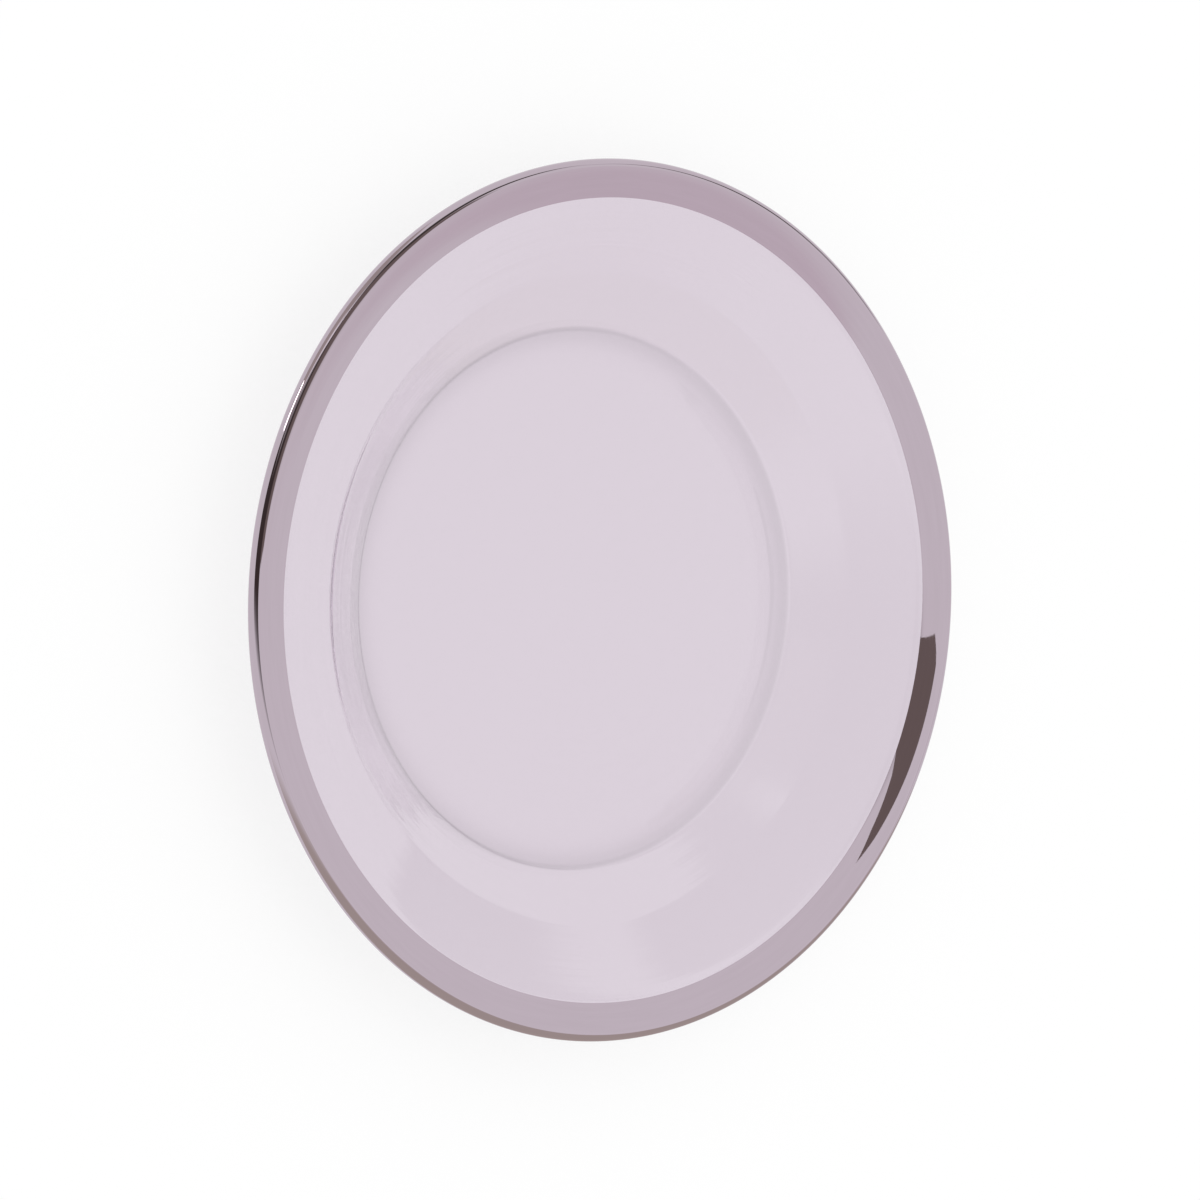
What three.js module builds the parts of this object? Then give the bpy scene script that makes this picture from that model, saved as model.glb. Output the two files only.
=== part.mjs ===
// A pressed-glass side plate with a bright platinum band fired onto its rim.
// Millimetres, +Z up. The origin is the middle of the foot ring, on the table.
import * as THREE from "three";

// Sizes over all
const PLATE_RADIUS = 105; // from the middle to the outside of the banded lip
const PLATE_HEIGHT = 20; // from the table to the top of the banded lip

// The glass, from the lip inwards
const LIP_THICKNESS = 3.3; // the lip is rounded right round
const RIM_WIDTH = 7.4; // from the outside to the brow, where the slope eases
const RIM_SLOPE = 5; // degrees, next to the lip
const FLANGE_WIDTH = 27.85; // from the outside to the shoulder
const FLANGE_SLOPE = 20; // degrees, between the brow and the shoulder
const SHOULDER_THICKNESS = 3.65; // flange at the shoulder, square to its upper side
const UNDER_FLANGE_SLOPE = 21; // degrees, so the flange thins a little towards the lip
const UNDER_SHOULDER_LEAD = 1.2; // the underside's bend lies this far outside the shoulder
const BOOGE_RUN = 12.3; // from the shoulder in to the edge of the well's floor
const FLOOR_THICKNESS = 3.7; // bottom of the well

// The foot: the base stands on a low ring
const FOOT_HEIGHT = 1; // from the table to the base inside the ring
const FOOT_INSET = 1.15; // ring's outer edge inside the edge of the well's floor
const FOOT_WIDTH = 2; // flat of the ring, between its unrounded edges
const FOOT_RAMP = 6; // sloping inner side of the ring

// Rounding of the bends, upper side and underside
const BROW_ROUND = 41;
const SHOULDER_ROUND = 10;
const HEEL_ROUND = 2.7;
const UNDER_BROW_ROUND = 30;
const UNDER_SHOULDER_ROUND = 8.5;
const FOOT_OUTER_ROUND = 3.3;
const FOOT_INNER_ROUND = 3;
const RAMP_ROUND = 12;

// The platinum band
const BAND_WIDTH = 9.3; // on the upper face, from the outside inwards
const BAND_FILM = 0.1; // the fired film itself, drawn thicker than it is

// Fineness of the facets
const TURN_SEGMENTS = 80;
const LIP_STEPS = 4; // in each quarter of the lip's round
const BEND_STEPS = 3;

const lipRound = LIP_THICKNESS / 2;
const wellFloor = FOOT_HEIGHT + FLOOR_THICKNESS;
const shoulderRadius = PLATE_RADIUS - FLANGE_WIDTH;
const heelRadius = shoulderRadius - BOOGE_RUN;
const footOuter = heelRadius - FOOT_INSET;
const bandEdge = PLATE_RADIUS - BAND_WIDTH;

// A point of the section: x is the distance from the axis, y the height.
const point = (radius, height) => new THREE.Vector2(radius, height);

// Unit vector along a slope given in degrees, pointing outwards.
function along(degrees) {
  const angle = THREE.MathUtils.degToRad(degrees);
  return point(Math.cos(angle), Math.sin(angle));
}

// Unit vector square to a direction, on its left.
const leftOf = (direction) => point(-direction.y, direction.x);

// The point of the line through start, along direction, at a given radius.
function atRadius(start, direction, radius) {
  const distance = (radius - start.x) / direction.x;
  return start.clone().addScaledVector(direction, distance);
}

// Where two lines cross, each given by a point and a direction.
function crossing(a, alongA, b, alongB) {
  const distance = b.clone().sub(a).cross(alongB) / alongA.cross(alongB);
  return a.clone().addScaledVector(alongA, distance);
}

// Points of an arc round a centre, both ends included.
function arc(centre, radius, from, to, steps) {
  const points = [];
  for (let i = 0; i <= steps; i++) {
    const angle = from + ((to - from) * i) / steps;
    points.push(
      point(centre.x + radius * Math.cos(angle), centre.y + radius * Math.sin(angle)),
    );
  }
  return points;
}

// A bend between three corners, whose arc takes up no more than room of either side.
function bend(before, corner, after, radius, room) {
  const back = before.clone().sub(corner).normalize();
  const on = after.clone().sub(corner).normalize();
  const half = Math.acos(THREE.MathUtils.clamp(back.dot(on), -1, 1)) / 2;
  const round = Math.min(radius, room * Math.tan(half));
  const middle = back.clone().add(on).normalize();
  const centre = corner.clone().addScaledVector(middle, round / Math.sin(half));
  const start = corner.clone().addScaledVector(back, round / Math.tan(half)).sub(centre);
  const end = corner.clone().addScaledVector(on, round / Math.tan(half)).sub(centre);
  const turn = Math.atan2(start.cross(end), start.dot(end));
  return arc(centre, round, start.angle(), start.angle() + turn, BEND_STEPS);
}

// A line of corners with every corner but the ends rounded. Two bends share an inner side
// half and half, and an end side is free for its one bend.
function rounded(corners, radii) {
  const rooms = corners.slice(1).map((corner, i) => {
    const isEnd = i === 0 || i === radii.length;
    return corner.distanceTo(corners[i]) / (isEnd ? 1 : 2);
  });
  const bends = radii.map((radius, i) =>
    bend(corners[i], corners[i + 1], corners[i + 2], radius, Math.min(rooms[i], rooms[i + 1])),
  );
  return [corners[0], ...bends.flat(), corners.at(-1)];
}

// The lip: a full round inside the band's film.
const lipCentre = point(
  PLATE_RADIUS - BAND_FILM - lipRound,
  PLATE_HEIGHT - BAND_FILM - lipRound,
);
const rimWay = along(RIM_SLOPE);
const flangeWay = along(FLANGE_SLOPE);
const underFlangeWay = along(UNDER_FLANGE_SLOPE);
const rimUp = leftOf(rimWay);
const flangeUp = leftOf(flangeWay);

// The upper face, from the axis out to where the lip begins
const lipTop = lipCentre.clone().addScaledVector(rimUp, lipRound);
const brow = atRadius(lipTop, rimWay, PLATE_RADIUS - RIM_WIDTH);
const shoulder = atRadius(brow, flangeWay, shoulderRadius);
const heel = point(heelRadius, wellFloor);
const upperFace = rounded(
  [point(0, wellFloor), heel, shoulder, brow, lipTop],
  [HEEL_ROUND, SHOULDER_ROUND, BROW_ROUND],
);

// The underside, from the axis out to where the lip ends
const lipBottom = lipCentre.clone().addScaledVector(rimUp, -lipRound);
const underFlange = shoulder.clone().addScaledVector(flangeUp, -SHOULDER_THICKNESS);
const underBrow = crossing(lipBottom, rimWay, underFlange, underFlangeWay);
const underShoulder = atRadius(underFlange, underFlangeWay, shoulderRadius + UNDER_SHOULDER_LEAD);
const footInner = footOuter - FOOT_WIDTH;
const underside = rounded(
  [
    point(0, FOOT_HEIGHT),
    point(footInner - FOOT_RAMP, FOOT_HEIGHT),
    point(footInner, 0),
    point(footOuter, 0),
    underShoulder,
    underBrow,
    lipBottom,
  ],
  [RAMP_ROUND, FOOT_INNER_ROUND, FOOT_OUTER_ROUND, UNDER_SHOULDER_ROUND, UNDER_BROW_ROUND],
);

// The lip's round, from the upper face over its top and its outside to the underside
const lipStart = rimUp.angle();
const lipEnd = lipStart - Math.PI;
const straightUp = Math.PI / 2;
const lipFace = [
  ...arc(lipCentre, lipRound, lipStart, straightUp, 1),
  ...arc(lipCentre, lipRound, straightUp, 0, LIP_STEPS).slice(1),
  ...arc(lipCentre, lipRound, 0, lipEnd, LIP_STEPS).slice(1),
];

// The upper face with a point set in where the band begins
const bandStart = upperFace.findIndex((p) => p.x > bandEdge);
const bandCorner = atRadius(
  upperFace[bandStart],
  upperFace[bandStart].clone().sub(upperFace[bandStart - 1]),
  bandEdge,
);
const bareFace = upperFace.slice(0, bandStart);
const bandedFace = [bandCorner, ...upperFace.slice(bandStart, -1), ...lipFace];

// The film's outer skin: each point of the banded face moved out by the film's thickness
function skinOver(face) {
  return face.map((p, i) => {
    const before = face[Math.max(i - 1, 0)];
    const after = face[Math.min(i + 1, face.length - 1)];
    const outwards = leftOf(after.clone().sub(before).normalize());
    return p.clone().addScaledVector(outwards, BAND_FILM);
  });
}

// A solid of revolution about Z from its section, read anticlockwise.
function turned(name, section, finish) {
  const geometry = new THREE.LatheGeometry(section, TURN_SEGMENTS);
  geometry.rotateX(Math.PI / 2);
  const mesh = new THREE.Mesh(geometry, new THREE.MeshStandardMaterial(finish));
  mesh.name = name;
  return mesh;
}

// The glass body, pressed and fire-polished in one piece
function glassPlate() {
  const section = [
    ...underside.slice(0, -1),
    ...[...bandedFace].reverse(),
    ...[...bareFace].reverse(),
  ];
  const finish = { color: "#ddd6de", roughness: 0.03, metalness: 0, transparent: true, opacity: 0.4 };
  return turned("glass_plate", section, finish);
}

// The metal film over the rim's upper face and the lip
function platinumBand() {
  const skin = skinOver(bandedFace);
  const section = [...[...skin].reverse(), ...bandedFace, skin.at(-1)];
  const finish = { color: "#b8abb3", roughness: 0.06, metalness: 1 };
  return turned("platinum_band", section, finish);
}

const plate = new THREE.Group();
plate.add(glassPlate(), platinumBand());

export default plate;
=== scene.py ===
"""A pressed-glass side plate with a platinum band on its rim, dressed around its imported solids.

Metres, +Z up. The origin is the middle of the foot ring, on the table.
"""

import logging
import math
from dataclasses import dataclass
from enum import Enum
from itertools import cycle

import bmesh
import bpy
from mathutils import Matrix, Vector


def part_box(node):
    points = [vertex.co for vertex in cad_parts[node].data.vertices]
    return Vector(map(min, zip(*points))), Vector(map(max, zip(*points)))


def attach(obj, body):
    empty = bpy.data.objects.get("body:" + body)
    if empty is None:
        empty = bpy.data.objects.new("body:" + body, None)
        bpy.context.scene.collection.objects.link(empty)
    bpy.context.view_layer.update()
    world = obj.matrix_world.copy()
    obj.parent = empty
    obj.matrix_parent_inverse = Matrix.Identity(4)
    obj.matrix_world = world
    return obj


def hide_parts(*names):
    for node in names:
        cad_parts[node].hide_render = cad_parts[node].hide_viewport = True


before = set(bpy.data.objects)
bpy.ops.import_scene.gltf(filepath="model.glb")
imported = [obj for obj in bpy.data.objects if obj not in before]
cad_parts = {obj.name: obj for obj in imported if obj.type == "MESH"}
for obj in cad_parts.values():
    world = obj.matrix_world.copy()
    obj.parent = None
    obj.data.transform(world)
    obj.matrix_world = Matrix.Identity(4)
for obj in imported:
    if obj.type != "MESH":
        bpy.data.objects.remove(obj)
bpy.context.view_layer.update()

log = logging.getLogger("plate")

Colour = tuple[float, float, float]
Corner = tuple[float, float, float]

BODY = "root"
LEVEL = (1.0, 1.0, 0.0)  # times a place, keeps its X and Y
SHARP_EDGE = 40.0  # degrees between two faces
MERGE_DISTANCE = 1e-7  # points nearer than this are one

# Tones of the studio
WHITE = (1.0, 1.0, 1.0)
ROSE = (0.915, 0.86, 0.89)
TABLE_BROWN = (0.62, 0.57, 0.5)
WALL_BROWN = (0.55, 0.5, 0.46)
FLAG_BROWN = (0.23, 0.19, 0.17)
DUSK = (0.08, 0.07, 0.06)
FLAG_BLACK = (0.07, 0.055, 0.05)

# Heights of the level cards above the table
CEILING = 4.0
LIP_FLAG_HEIGHT = 4.2
NEAR_FLAG_HEIGHT = 0.15

# Where the upright cards stand: X of those at the picture's top and bottom, Y of the one at its right
DUSK_WALL = -3.0
BACK_WALL = -4.0
TABLE_EDGE = 0.12
SIDE_WALL = 3.0


class Ray(Enum):
    """The kinds of ray that a surface can tell apart, by the names of their sockets."""

    CAMERA = "Is Camera Ray"
    GLOSSY = "Is Glossy Ray"
    TRANSMISSION = "Is Transmission Ray"


class NodeBoard:
    """A node tree with short ways to add and join its nodes."""

    def __init__(self, tree: bpy.types.NodeTree) -> None:
        """Starts on a tree, which is emptied first.

        Args:
            tree: The tree of a material, a world or a node group.
        """
        self.tree = tree
        tree.nodes.clear()

    def add(self, kind: str, **settings: object) -> bpy.types.Node:
        """Adds a node.

        Args:
            kind: The node's type name without its ShaderNode start.
            settings: Values of the node's own properties.

        Returns:
            The new node.
        """
        node = self.tree.nodes.new(kind if kind.startswith("NodeGroup") else "ShaderNode" + kind)
        for name, value in settings.items():
            setattr(node, name, value)
        return node

    def feed(self, node: bpy.types.Node, socket: str | int, source: object) -> None:
        """Joins a source to an input, or sets the input where the source is a plain value.

        Args:
            node: The node that is fed.
            socket: The name or the number of its input.
            source: An output socket, a number, or a colour or vector.
        """
        target = node.inputs[socket]
        if isinstance(source, bpy.types.NodeSocket):
            self.tree.links.new(source, target)
        elif isinstance(source, (int, float)):
            target.default_value = source
        else:
            values = tuple(source)
            target.default_value = values + (1.0,) if target.type == "RGBA" and len(values) == 3 else values

    def math(self, operation: str, *sources: object) -> bpy.types.NodeSocket:
        """Adds a Math node.

        Args:
            operation: The name of the operation.
            sources: Its operands, sockets or numbers.

        Returns:
            The result's socket.
        """
        node = self.add("Math", operation=operation)
        for place, source in enumerate(sources):
            self.feed(node, place, source)
        return node.outputs[0]

    def vector(self, operation: str, *sources: object) -> bpy.types.Node:
        """Adds a Vector Math node.

        Args:
            operation: The name of the operation.
            sources: Its operands, sockets, vectors or numbers.

        Returns:
            The node, whose result is at Vector or at Value.
        """
        node = self.add("VectorMath", operation=operation)
        for place, source in enumerate(sources):
            self.feed(node, place, source)
        return node

    def blend(self, share: object, low: object, high: object) -> bpy.types.NodeSocket:
        """Blends two colours.

        Args:
            share: The second colour's share, from 0 to 1.
            low: The first colour.
            high: The second colour.

        Returns:
            The blended colour's socket.
        """
        node = self.add("Mix", data_type="RGBA")
        colours = [place for place, socket in enumerate(node.inputs) if socket.type == "RGBA"]
        for place, source in zip([0] + colours, (share, low, high)):
            self.feed(node, place, source)
        return next(socket for socket in node.outputs if socket.type == "RGBA")

    def span(
        self,
        source: object,
        low: float,
        high: float,
        start: float = 0.0,
        end: float = 1.0,
    ) -> bpy.types.NodeSocket:
        """Maps a value from one span to another, smoothly and without leaving it.

        Args:
            source: The value.
            low: Where the first span begins.
            high: Where the first span ends.
            start: The result at low.
            end: The result at high.

        Returns:
            The result's socket.
        """
        node = self.add("MapRange", interpolation_type="SMOOTHSTEP")
        for place, value in enumerate((source, low, high, start, end)):
            self.feed(node, place, value)
        return node.outputs[0]


def new_paint(name: str) -> tuple[bpy.types.Material, NodeBoard]:
    """Starts a material.

    Args:
        name: The material's name.

    Returns:
        The material and the board of its nodes.
    """
    made = bpy.data.materials.new(name)
    made.use_nodes = True
    return made, NodeBoard(made.node_tree)


def set_out(name: str, mesh: bmesh.types.BMesh) -> bpy.types.Object:
    """Turns a finished mesh into an object of the scene.

    Args:
        name: The object's name.
        mesh: The mesh, which is used up.

    Returns:
        The object.
    """
    data = bpy.data.meshes.new(name)
    mesh.to_mesh(data)
    mesh.free()
    made = bpy.data.objects.new(name, data)
    bpy.context.scene.collection.objects.link(made)
    return made


@dataclass(frozen=True)
class TurnedGrain:
    """A node group for marks that run round the plate, as a mould or a turning brush leaves them.

    Within about the distance calm from the axis the marks grow wide, so that they don't meet in a star.
    """

    name: str = "turned_grain"
    detail: float = 3.0
    calm: float = 0.03

    def group(self) -> bpy.types.NodeTree:
        """Builds the group once and hands out the same one afterwards.

        Returns:
            The group, with the inputs Around and Across and the output Grain.
        """
        known = bpy.data.node_groups.get(self.name)
        if known:
            return known
        tree = bpy.data.node_groups.new(self.name, "ShaderNodeTree")
        board = NodeBoard(tree)
        for socket in ("Around", "Across"):
            tree.interface.new_socket(socket, in_out="INPUT", socket_type="NodeSocketFloat")
        tree.interface.new_socket("Grain", in_out="OUTPUT", socket_type="NodeSocketFloat")
        given = board.add("NodeGroupInput").outputs
        place = board.add("TexCoord").outputs["Object"]
        flat = board.vector("MULTIPLY_ADD", place, LEVEL, (0.0, 0.0, self.calm)).outputs["Vector"]
        reach = board.vector("LENGTH", flat).outputs["Value"]
        way = board.vector("NORMALIZE", flat).outputs["Vector"]
        round_way = board.vector("MULTIPLY", way, given["Around"]).outputs["Vector"]
        height = board.add("SeparateXYZ")
        board.feed(height, 0, place)
        along = board.math("ADD", reach, height.outputs["Z"])
        lift = board.add("CombineXYZ")
        board.feed(lift, "Z", board.math("MULTIPLY", along, given["Across"]))
        spot = board.vector("ADD", round_way, lift.outputs["Vector"])
        noise = board.add("TexNoise")
        board.feed(noise, "Vector", spot.outputs["Vector"])
        board.feed(noise, "Scale", 1.0)
        board.feed(noise, "Detail", self.detail)
        board.feed(board.add("NodeGroupOutput"), "Grain", noise.outputs[0])
        return tree

    def place(self, board: NodeBoard, around: float, across: float) -> bpy.types.NodeSocket:
        """Puts the group into a material.

        Args:
            board: The material's board.
            around: Marks along a turn, per radian or so.
            across: Marks per metre across the turns.

        Returns:
            The socket of the grain, from 0 to 1.
        """
        node = board.add("Group", node_tree=self.group())
        board.feed(node, "Around", around)
        board.feed(node, "Across", across)
        return node.outputs["Grain"]


@dataclass(frozen=True)
class ClearGlass:
    """Pressed and fire-polished glass with a pale lilac-grey body colour, and a contact shadow painted darker
    into the skin round the foot ring, which is also a little rougher there.

    The absorption is given per metre for red, green and blue, and the density only has to be larger.
    """

    absorption: Colour = (18.0, 22.0, 18.0)
    density: float = 150.0
    skin: Colour = (0.749, 0.681, 0.749)
    # Painted contact shadow: the darker skin tone that the foot ring gets, and the spans that place it below.
    darker_tone: Colour = (0.58, 0.526, 0.58)
    worn_roughness: float = 0.04
    ior: float = 1.5
    shade_start: float = 0.0565
    shade_full: float = 0.0650
    shade_end: float = 0.0665
    shade_height: float = 0.002
    shade_power: float = 2.0
    ripple: float = 1.0
    ripple_depth: float = 0.00006
    ripples_around: float = 0.5
    ripples_across: float = 300.0

    def foot_ring_shade(self, board: NodeBoard) -> bpy.types.NodeSocket:
        """Marks the painted contact shadow round the foot ring, under the plate, stronger towards the ring's
        outer edge.

        Args:
            board: The glass's board.

        Returns:
            The socket of the mask, from 0 to 1.
        """
        place = board.add("TexCoord").outputs["Object"]
        flat = board.vector("MULTIPLY", place, LEVEL).outputs["Vector"]
        radius = board.vector("LENGTH", flat).outputs["Value"]
        height = board.add("SeparateXYZ")
        board.feed(height, 0, place)
        rising = board.span(radius, self.shade_start, self.shade_full)
        rising = board.math("POWER", rising, self.shade_power)
        falling = board.span(radius, self.shade_full, self.shade_end, 1.0, 0.0)
        low = board.math("LESS_THAN", height.outputs["Z"], self.shade_height)
        return board.math("MULTIPLY", board.math("MULTIPLY", rising, falling), low)

    def material(self) -> bpy.types.Material:
        """Makes the glass.

        Returns:
            The material, with its body colour as absorption inside.
        """
        made, board = new_paint("clear_glass")
        out = board.add("OutputMaterial")
        shader = board.add("BsdfPrincipled")
        inside = board.add("VolumeAbsorption")
        board.feed(inside, "Density", self.density)
        board.feed(inside, "Color", [1.0 - loss / self.density for loss in self.absorption])
        # Painted contact shadow round the foot ring: the skin darkens there, most near the ring's outer edge,
        # and the ring is also a little rougher.
        ring_shade = self.foot_ring_shade(board)
        wave = board.add("Bump")
        board.feed(wave, "Strength", self.ripple)
        board.feed(wave, "Distance", self.ripple_depth)
        board.feed(wave, "Height", TurnedGrain().place(board, self.ripples_around, self.ripples_across))
        board.feed(shader, "Transmission Weight", 1.0)
        board.feed(shader, "IOR", self.ior)
        board.feed(shader, "Base Color", board.blend(ring_shade, self.skin, self.darker_tone))
        board.feed(shader, "Roughness", board.math("MULTIPLY", ring_shade, self.worn_roughness))
        board.feed(shader, "Normal", wave.outputs[0])
        board.feed(out, "Surface", shader.outputs[0])
        board.feed(out, "Volume", inside.outputs[0])
        return made


@dataclass(frozen=True)
class FiredPlatinum:
    """A bright metal lustre, brushed on and fired, with a faint mauve cast."""

    colour: Colour = (0.514, 0.437, 0.497)
    darker_tone: Colour = (0.483, 0.409, 0.464)
    smooth: float = 0.008
    brushed: float = 0.024
    strokes_around: float = 7.0
    strokes_across: float = 900.0
    stroke_low: float = 0.3
    stroke_high: float = 0.7

    def material(self) -> bpy.types.Material:
        """Makes the metal.

        Returns:
            The material, with brush strokes that run round the rim.
        """
        made, board = new_paint("fired_platinum")
        out = board.add("OutputMaterial")
        shader = board.add("BsdfPrincipled")
        grain = TurnedGrain().place(board, self.strokes_around, self.strokes_across)
        gloss = board.span(grain, self.stroke_low, self.stroke_high, self.smooth, self.brushed)
        board.feed(shader, "Base Color", board.blend(grain, self.darker_tone, self.colour))
        board.feed(shader, "Metallic", 1.0)
        board.feed(shader, "Roughness", gloss)
        board.feed(out, "Surface", shader.outputs[0])
        return made


def slope(degrees: float) -> Vector:
    """The unit vector up a slope, outwards, as radius and height."""
    angle = math.radians(degrees)
    return Vector((math.cos(angle), math.sin(angle)))


def left_of(way: Vector) -> Vector:
    """The unit vector square to a direction, on its left."""
    return Vector((-way.y, way.x))


def at_radius(start: Vector, way: Vector, radius: float) -> Vector:
    """The point of a line at a given radius.

    Args:
        start: A point of the line.
        way: The line's direction.
        radius: The radius to reach.

    Returns:
        The point, as radius and height.
    """
    return start + way * ((radius - start.x) / way.x)


def crossing(a: Vector, along_a: Vector, b: Vector, along_b: Vector) -> Vector:
    """Where two lines of the section cross.

    Args:
        a: A point of the first line.
        along_a: The first line's direction.
        b: A point of the second line.
        along_b: The second line's direction.

    Returns:
        The crossing point.
    """
    return a + along_a * ((b - a).cross(along_b) / along_a.cross(along_b))


class SectionPen:
    """Draws the section of a turned piece as one line in the XZ plane, with lines and true arcs.

    A run longer than LONG supports gets supporting points, and one shorter than SHORT supports isn't drawn.
    """

    LONG = 4.0
    SHORT = 0.01

    def __init__(self, start: Vector, arc_step: float, support: float) -> None:
        """Sets the pen down.

        Args:
            start: The first point, as radius and height.
            arc_step: The most that one step of an arc turns, in radians.
            support: How near to a run's ends its supporting points lie.
        """
        self.mesh = bmesh.new()
        self.tip = self.mesh.verts.new((start.x, 0.0, start.y))
        self.arc_step = arc_step
        self.support = support

    @property
    def spot(self) -> Vector:
        """Where the pen is, as radius and height."""
        return Vector((self.tip.co.x, self.tip.co.z))

    def step_to(self, target: Vector) -> None:
        """Draws one straight edge to a point, given as radius and height."""
        grown = bmesh.ops.extrude_vert_indiv(self.mesh, verts=[self.tip])
        move = target - self.spot
        self.tip = grown["verts"][0]
        bmesh.ops.translate(self.mesh, verts=[self.tip], vec=(move.x, 0.0, move.y))

    def line_to(self, target: Vector) -> None:
        """Draws a straight run, with a supporting point near each end of a long one.

        Args:
            target: The run's end, as radius and height.
        """
        run = target - self.spot
        if run.length > self.LONG * self.support:
            edge = run.normalized() * self.support
            self.step_to(self.spot + edge)
            self.step_to(target - edge)
        if run.length > self.SHORT * self.support:
            self.step_to(target)

    def arc(self, centre: Vector, turn: float) -> None:
        """Draws an arc from where the pen is.

        Args:
            centre: The arc's centre, as radius and height.
            turn: The angle, in radians, anticlockwise where it is positive.
        """
        steps = max(1, math.ceil(abs(turn) / self.arc_step))
        swept = bmesh.ops.spin(
            self.mesh,
            geom=[self.tip],
            cent=(centre.x, 0.0, centre.y),
            axis=(0.0, -1.0, 0.0),
            angle=turn,
            steps=steps,
        )
        self.tip = next(e for e in swept["geom_last"] if isinstance(e, bmesh.types.BMVert))

    def bend(self, corner: Vector, following: Vector, radius: float) -> None:
        """Draws a run towards a corner and rounds it.

        Args:
            corner: The corner, as radius and height.
            following: The next corner, which gives the way out.
            radius: The rounding's radius.
        """
        way_in = (corner - self.spot).normalized()
        way_out = (following - corner).normalized()
        turn = math.atan2(way_in.cross(way_out), way_in.dot(way_out))
        start = corner - way_in * radius * math.tan(abs(turn) / 2)
        self.line_to(start)
        self.arc(start + left_of(way_in) * math.copysign(radius, turn), turn)

    def turned(self, name: str, steps: int, film: float = 0.0) -> bpy.types.Object:
        """Turns the section about Z into a piece.

        Args:
            name: The piece's name.
            steps: Steps of the full turn.
            film: The thickness that an open section gets, inwards.

        Returns:
            The piece, linked into the scene.
        """
        geometry = self.mesh.verts[:] + self.mesh.edges[:]
        bmesh.ops.spin(
            self.mesh,
            geom=geometry,
            cent=(0.0, 0.0, 0.0),
            axis=(0.0, 0.0, 1.0),
            angle=math.tau,
            steps=steps,
            use_merge=True,
        )
        bmesh.ops.remove_doubles(self.mesh, verts=self.mesh.verts, dist=MERGE_DISTANCE)
        bmesh.ops.recalc_face_normals(self.mesh, faces=self.mesh.faces)
        if film:
            bmesh.ops.solidify(self.mesh, geom=self.mesh.faces[:], thickness=film)
        piece = set_out(name, self.mesh)
        for polygon in piece.data.polygons:
            polygon.use_smooth = True
        piece.data.set_sharp_from_angle(angle=math.radians(SHARP_EDGE))
        return piece


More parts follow.
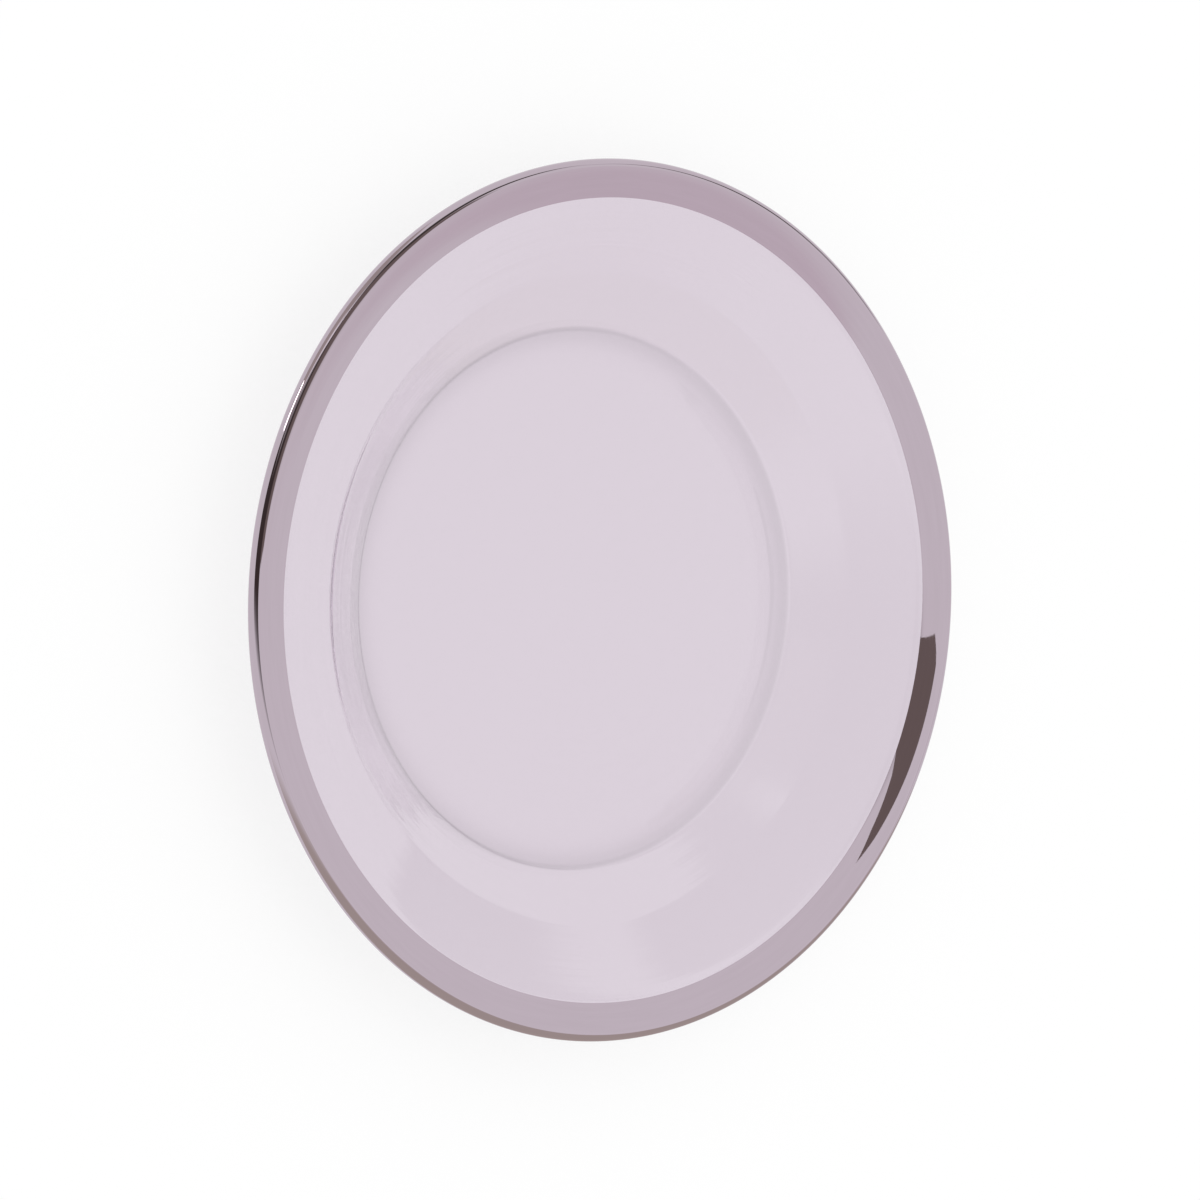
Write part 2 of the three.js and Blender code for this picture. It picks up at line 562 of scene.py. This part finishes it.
@dataclass
class SidePlate:
    """The plate: a glass body and the metal film on its rim."""

    radius: float
    height: float
    lip_thickness: float = 0.0033
    rim_width: float = 0.0073
    rim_slope: float = 5.0
    flange_width: float = 0.02775
    flange_slope: float = 20.0
    shoulder_thickness: float = 0.00365
    under_flange_slope: float = 21.0
    under_shoulder_lead: float = 0.0009
    booge_run: float = 0.0123
    floor_thickness: float = 0.0037
    foot_height: float = 0.001
    foot_inset: float = 0.00115
    foot_width: float = 0.0020
    foot_ramp: float = 0.0060
    brow_round: float = 0.041
    shoulder_round: float = 0.010
    heel_round: float = 0.0027
    under_brow_round: float = 0.030
    under_shoulder_round: float = 0.014
    foot_outer_round: float = 0.0033
    foot_inner_round: float = 0.010
    ramp_round: float = 0.020
    band_width: float = 0.0092
    film_gap: float = 0.00001
    film: float = 0.00003
    turn_steps: int = 288
    arc_step: float = math.radians(2.0)
    support: float = 0.0003

    def __post_init__(self) -> None:
        """Works out the corners of the section that the two pieces share."""
        lip = self.lip_thickness / 2
        self.lip_round = lip
        self.lip = Vector((self.radius - lip, self.height - lip))
        rim, flange = slope(self.rim_slope), slope(self.flange_slope)
        under_flange = slope(self.under_flange_slope)
        self.rim_up = left_of(rim)
        self.lip_top = self.lip + self.rim_up * lip
        self.lip_bottom = self.lip - self.rim_up * lip
        shoulder_radius = self.radius - self.flange_width
        floor = self.foot_height + self.floor_thickness
        self.brow = at_radius(self.lip_top, rim, self.radius - self.rim_width)
        self.shoulder = at_radius(self.brow, flange, shoulder_radius)
        self.heel = Vector((shoulder_radius - self.booge_run, floor))
        self.well = Vector((0.0, floor))
        under = self.shoulder - left_of(flange) * self.shoulder_thickness
        self.under_brow = crossing(self.lip_bottom, rim, under, under_flange)
        self.under_shoulder = at_radius(under, under_flange, shoulder_radius + self.under_shoulder_lead)
        self.foot_outer = Vector((self.heel.x - self.foot_inset, 0.0))
        self.foot_inner = self.foot_outer - Vector((self.foot_width, 0.0))
        self.ramp_top = Vector((self.foot_inner.x - self.foot_ramp, self.foot_height))

    def pen(self, start: Vector) -> SectionPen:
        """A pen for this plate's sections, set down at a point."""
        return SectionPen(start, self.arc_step, self.support)

    def glass_body(self, finish: ClearGlass) -> None:
        """Builds the glass body in one piece.

        Args:
            finish: The glass.
        """
        pen = self.pen(Vector((0.0, self.foot_height)))
        pen.bend(self.ramp_top, self.foot_inner, self.ramp_round)
        pen.bend(self.foot_inner, self.foot_outer, self.foot_inner_round)
        pen.bend(self.foot_outer, self.under_shoulder, self.foot_outer_round)
        pen.bend(self.under_shoulder, self.under_brow, self.under_shoulder_round)
        pen.bend(self.under_brow, self.lip_bottom, self.under_brow_round)
        pen.line_to(self.lip_bottom)
        pen.arc(self.lip, math.pi)
        pen.bend(self.brow, self.shoulder, self.brow_round)
        pen.bend(self.shoulder, self.heel, self.shoulder_round)
        pen.bend(self.heel, self.well, self.heel_round)
        pen.line_to(self.well)
        body = pen.turned("glass_body", self.turn_steps)
        self.hand_over(body, finish.material(), "glass_plate")

    def metal_band(self, finish: FiredPlatinum) -> None:
        """Builds the film that lies on the rim's upper face and over the lip.

        Args:
            finish: The metal.
        """
        proud = self.film_gap + self.film
        skin = self.lip_round + proud
        rim = slope(self.rim_slope)
        flange = slope(self.flange_slope)
        lift = left_of(flange) * proud
        pen = self.pen(self.lip - self.rim_up * skin)
        pen.arc(self.lip, math.pi)
        brow = crossing(self.lip + self.rim_up * skin, rim, self.shoulder + lift, flange)
        turn = math.radians(self.flange_slope - self.rim_slope)
        start = brow + rim * self.brow_round * math.tan(turn / 2)
        centre = start - self.rim_up * self.brow_round
        pen.line_to(start)
        edge = self.radius - self.band_width - centre.x
        pen.arc(centre, math.acos(edge / self.brow_round) - math.atan2(self.rim_up.y, self.rim_up.x))
        band = pen.turned("metal_band", self.turn_steps, self.film)
        self.hand_over(band, finish.material(), "platinum_band")

    def hand_over(self, piece: bpy.types.Object, finish: bpy.types.Material, node: str) -> None:
        """Dresses a piece and ties it to the frame.

        Args:
            piece: The finished piece.
            finish: Its material.
            node: The node that it stands for.
        """
        piece.data.materials.append(finish)
        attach(piece, BODY)
        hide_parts(node)
        log.info("%s: %d faces, stands for %s", piece.name, len(piece.data.polygons), node)


@dataclass(frozen=True)
class ReflectionCard:
    """A flat card of one tone that only shows in the mirror of the metal and the glass.

    Its outline is convex, and it fades into clear air over a width along each side.
    """

    name: str
    corners: tuple[Corner, ...]
    tone: Colour
    strength: float = 1.0
    fades: tuple[float, ...] = (0.0,)

    def shown(self, board: NodeBoard) -> bpy.types.NodeSocket | float:
        """Marks how much of the card is there.

        Args:
            board: The board of the card's paint.

        Returns:
            The socket of the mask, or 1 where all the sides are sharp.
        """
        place = board.add("TexCoord").outputs["Object"]
        corners = [Vector(corner) for corner in self.corners]
        middle = sum(corners, Vector()) / len(corners)
        mask = 1.0
        for start, end, fade in zip(corners, corners[1:] + corners[:1], cycle(self.fades)):
            if not fade:
                continue
            way = (end - start).normalized()
            inwards = middle - start
            inwards = (inwards - way * inwards.dot(way)).normalized()
            depth = board.vector("DOT_PRODUCT", place, inwards).outputs["Value"]
            rim = inwards.dot(start)
            mask = board.math("MULTIPLY", mask, board.span(depth, rim, rim + fade))
        return mask

    def place(self) -> None:
        """Puts the card up."""
        mesh = bmesh.new()
        mesh.faces.new([mesh.verts.new(corner) for corner in self.corners])
        card = set_out(self.name, mesh)
        paint, board = new_paint(self.name)
        out = board.add("OutputMaterial")
        glow = board.add("Emission")
        board.feed(glow, "Color", self.tone)
        board.feed(glow, "Strength", self.strength)
        cover = board.add("MixShader")
        board.feed(cover, 0, self.shown(board))
        board.feed(cover, 1, board.add("BsdfTransparent").outputs[0])
        board.feed(cover, 2, glow.outputs[0])
        board.feed(out, "Surface", cover.outputs[0])
        card.data.materials.append(paint)
        for kind in ("camera", "diffuse", "transmission", "volume_scatter", "shadow"):
            setattr(card, "visible_" + kind, False)


@dataclass(frozen=True)
class SoftBox:
    """A square lamp that shines on the plate from a direction.

    Its power is pi times its radiance and its area, as for any flat lamp that looks alike from all sides.
    """

    name: str
    towards: Corner
    distance: float
    side: float
    radiance: float

    def place(self) -> None:
        """Hangs the lamp, turned to the plate."""
        data = bpy.data.lights.new(self.name, "AREA")
        data.shape = "SQUARE"
        data.size = self.side
        data.energy = math.pi * self.radiance * self.side**2
        lamp = bpy.data.objects.new(self.name, data)
        way = Vector(self.towards).normalized()
        lamp.location = way * self.distance
        lamp.rotation_euler = way.to_track_quat("Z", "Y").to_euler()
        lamp.visible_camera = False
        lamp.visible_transmission = False
        bpy.context.scene.collection.objects.link(lamp)


@dataclass(frozen=True)
class Studio:
    """The pale floor and the soft light round the plate."""

    floor_side: float = 40.0
    floor_drop: float = 0.0002
    floor_white: float = 0.8
    daylight: float = 1.0

    def floor(self) -> None:
        """Lays the white floor, which keeps the plate's shadow and lets the view through from below."""
        mesh = bmesh.new()
        bmesh.ops.create_grid(mesh, x_segments=1, y_segments=1, size=self.floor_side / 2)
        bmesh.ops.translate(mesh, verts=mesh.verts, vec=(0.0, 0.0, -self.floor_drop))
        floor = set_out("floor", mesh)
        paint, board = new_paint("floor_white")
        out = board.add("OutputMaterial")
        path = board.add("LightPath")
        seen = board.math("MULTIPLY", path.outputs[Ray.CAMERA.value], self.floor_white)
        seen = board.math("MAXIMUM", seen, path.outputs[Ray.GLOSSY.value])
        seen = board.math("MAXIMUM", seen, path.outputs[Ray.TRANSMISSION.value])
        matt = board.add("BsdfDiffuse")
        board.feed(matt, "Color", WHITE)
        glow = board.add("Emission")
        board.feed(glow, "Color", WHITE)
        top = board.add("MixShader")
        board.feed(top, 0, seen)
        board.feed(top, 1, matt.outputs[0])
        board.feed(top, 2, glow.outputs[0])
        both = board.add("MixShader")
        board.feed(both, 0, board.add("NewGeometry").outputs["Backfacing"])
        board.feed(both, 1, top.outputs[0])
        board.feed(both, 2, board.add("BsdfTransparent").outputs[0])
        board.feed(out, "Surface", both.outputs[0])
        floor.data.materials.append(paint)

    def sky(self) -> None:
        """Fills the room with even white light."""
        world = bpy.data.worlds.new("studio")
        world.use_nodes = True
        board = NodeBoard(world.node_tree)
        light = board.add("Background")
        board.feed(light, "Color", WHITE)
        board.feed(light, "Strength", self.daylight)
        board.feed(board.add("OutputWorld"), "Surface", light.outputs[0])
        bpy.context.scene.world = world


@dataclass(frozen=True)
class PhotoView:
    """The camera, at the photograph's angle."""

    aim_height: float = 0.0122
    distance: float = 1.4
    tilt: float = 37.55
    roll: float = 3.33
    lens: float = 176.1
    sensor: float = 36.0

    def place(self) -> None:
        """Sets the camera up so that the plate's axis points to the right, a little downwards."""
        tilt, roll = math.radians(self.tilt), math.radians(self.roll)
        back = Vector((0.0, -math.sin(tilt), math.cos(tilt)))
        axis = Vector((0.0, 0.0, 1.0))
        across = (axis - back * axis.dot(back)).normalized()
        right = across * math.cos(roll) + back.cross(across) * math.sin(roll)
        turn = Matrix((right, back.cross(right), back)).transposed()
        data = bpy.data.cameras.new("photo_view")
        data.lens = self.lens
        data.sensor_width = self.sensor
        camera = bpy.data.objects.new("photo_view", data)
        aim = Vector((0.0, 0.0, self.aim_height))
        camera.matrix_world = Matrix.Translation(aim + back * self.distance) @ turn.to_4x4()
        bpy.context.scene.collection.objects.link(camera)
        bpy.context.scene.camera = camera


def overhead(height: float, *ways: tuple[float, float]) -> tuple[Corner, ...]:
    """Corners of a level card, in directions seen from the plate.

    Args:
        height: The card's height.
        ways: For each corner the degrees from straight up towards +Y, and towards -X, the top of the picture.

    Returns:
        The corners.
    """
    corners = []
    for across, up in ways:
        lean = math.hypot(across, up)
        reach = height * math.tan(math.radians(lean)) / lean
        corners.append((-up * reach, across * reach, height))
    return tuple(corners)


def level(height: float, *spots: tuple[float, float]) -> tuple[Corner, ...]:
    """Corners of a level card, from its height and from each corner's X and Y."""
    return tuple((x, y, height) for x, y in spots)


def upright(x: float, *spots: tuple[float, float]) -> tuple[Corner, ...]:
    """Corners of an upright card that lies across X, from its X and from each corner's Y and Z."""
    return tuple((x, y, z) for y, z in spots)


def alongside(y: float, *spots: tuple[float, float]) -> tuple[Corner, ...]:
    """Corners of an upright card that lies across Y, from its Y and from each corner's X and Z."""
    return tuple((x, y, z) for x, z in spots)


CARDS = (
    ReflectionCard(
        name="streak_flag",
        corners=overhead(
            CEILING,
            (22.5, 0.4),
            (26.3, 0.9),
            (26.5, 3.2),
            (26.0, 5.6),
            (24.9, 7.6),
            (21.5, 8.2),
            (16.5, 7.5),
            (11.3, 6.2),
            (8.0, 5.2),
            (8.0, 1.3),
        ),
        tone=FLAG_BROWN,
    ),
    ReflectionCard(
        name="lip_flag",
        corners=overhead(
            LIP_FLAG_HEIGHT,
            (7.0, -20.0),
            (20.0, 18.0),
            (18.0, 28.0),
            (-10.0, 36.0),
            (-45.0, 36.0),
            (-60.0, 20.0),
            (-63.0, 2.0),
            (-52.0, -14.0),
        ),
        tone=FLAG_BLACK,
        fades=(0.45, 0.45, 0.8, 0.8, 0.8, 0.8, 0.8, 1.5),
    ),
    ReflectionCard(
        name="near_flag",
        corners=level(
            NEAR_FLAG_HEIGHT,
            (-0.005, 0.028),
            (-0.10, 0.065),
            (-0.15, 0.03),
            (-0.15, -0.10),
            (-0.005, -0.10),
        ),
        tone=FLAG_BROWN,
        fades=(0.02, 0.02, 0.02, 0.03, 0.004),
    ),
    ReflectionCard(
        name="high_dusk",
        corners=upright(
            DUSK_WALL,
            (-0.6, 2.6),
            (1.2, 2.6),
            (3.0, 3.6),
            (3.9, 4.9),
            (3.4, 7.0),
            (2.6, 10.5),
            (-0.6, 10.5),
        ),
        tone=DUSK,
        fades=(0.7,),
    ),
    ReflectionCard(
        name="low_dusk",
        corners=upright(DUSK_WALL, (3.9, 2.2), (9.4, 2.2), (10.2, 4.5), (9.4, 7.0), (3.9, 7.0)),
        tone=DUSK,
        fades=(1.3,),
    ),
    ReflectionCard(
        name="rose_card",
        corners=alongside(SIDE_WALL, (-0.1, 2.0), (3.6, 2.0), (3.6, 11.2), (-0.1, 4.2)),
        tone=ROSE,
        fades=(1.0, 0.8, 0.7, 0.6),
    ),
    ReflectionCard(
        name="table_card",
        corners=upright(
            TABLE_EDGE,
            (0.0, -0.55),
            (0.4, -0.55),
            (0.62, -0.3),
            (0.62, 0.1),
            (0.4, 0.34),
            (0.0, 0.34),
            (-0.24, 0.1),
            (-0.24, -0.3),
        ),
        tone=TABLE_BROWN,
        fades=(0.12,),
    ),
    ReflectionCard(
        name="back_card",
        corners=upright(BACK_WALL, (-6.0, -2.0), (-0.2, -2.0), (-0.2, 5.0), (-6.0, 5.0)),
        tone=WALL_BROWN,
        fades=(0.5,),
    ),
    ReflectionCard(
        name="window_card",
        corners=((-1.95, -2.15, 0.6), (-1.5, -2.45, 0.6), (-1.5, -2.45, 1.2), (-1.95, -2.15, 1.2)),
        tone=WHITE,
        strength=6.0,
    ),
)

LAMPS = (
    SoftBox("key_lamp", towards=(-0.5, -0.4, 0.77), distance=3.0, side=1.2, radiance=0.3),
)


def main() -> None:
    """Builds the plate, the studio and the camera."""
    logging.basicConfig(level=logging.INFO, format="%(name)s: %(message)s")
    bpy.context.scene.view_settings.view_transform = "Standard"
    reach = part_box("glass_plate")[1]
    plate = SidePlate(radius=reach.x, height=reach.z)
    plate.glass_body(ClearGlass())
    plate.metal_band(FiredPlatinum())
    studio = Studio()
    studio.floor()
    studio.sky()
    for thing in CARDS + LAMPS:
        thing.place()
    PhotoView().place()


if __name__ == "__main__":
    main()
